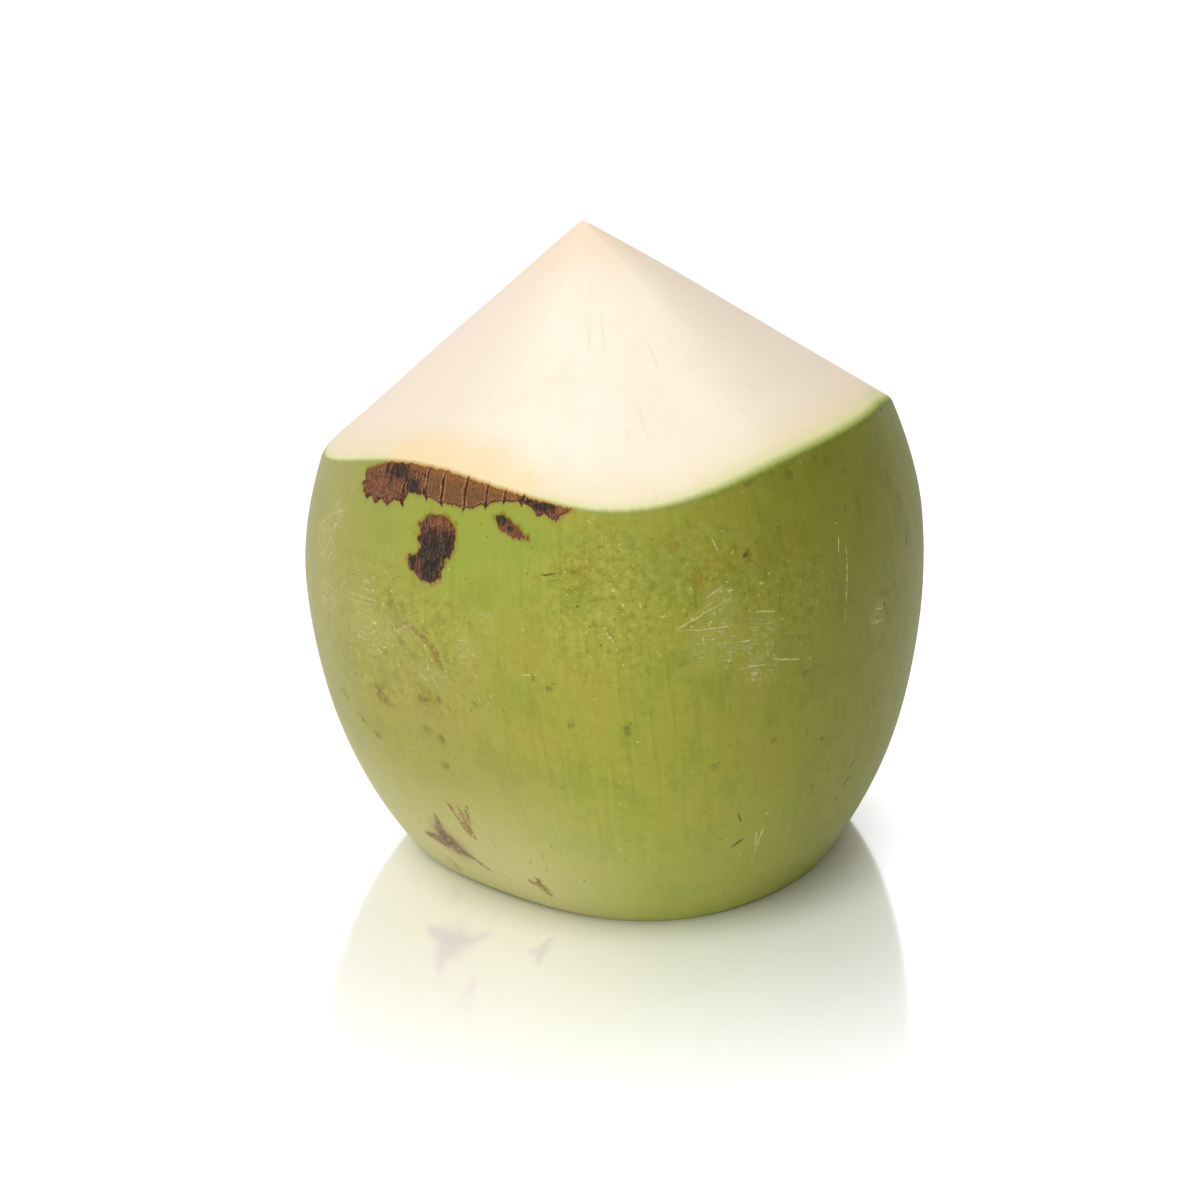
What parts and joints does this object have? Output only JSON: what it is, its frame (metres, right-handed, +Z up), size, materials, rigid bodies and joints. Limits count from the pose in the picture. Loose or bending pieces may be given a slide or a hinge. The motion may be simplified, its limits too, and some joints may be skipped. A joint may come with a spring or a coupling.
{
  "type": "green coconut",
  "caption": "Young green coconut with its crown trimmed to a pale cone, standing on a flat cut across its stem end.",
  "frame": {"origin": "where the fruit's axis meets the flat that it stands on", "axes": "+Z up, from the flat to the cone; -Y towards the side with the brown scabs; the crown leans 5.3 degrees to -X"},
  "size_m": [0.1532, 0.1477, 0.1604],
  "materials": {
    "green_husk": "waxy green skin with brown corky scabs and fine scratches, and a matt cream-coloured cut cone on top"
  },
  "bodies": {
    "root": {"green_coconut": "green_husk"}
  },
  "joints": []
}
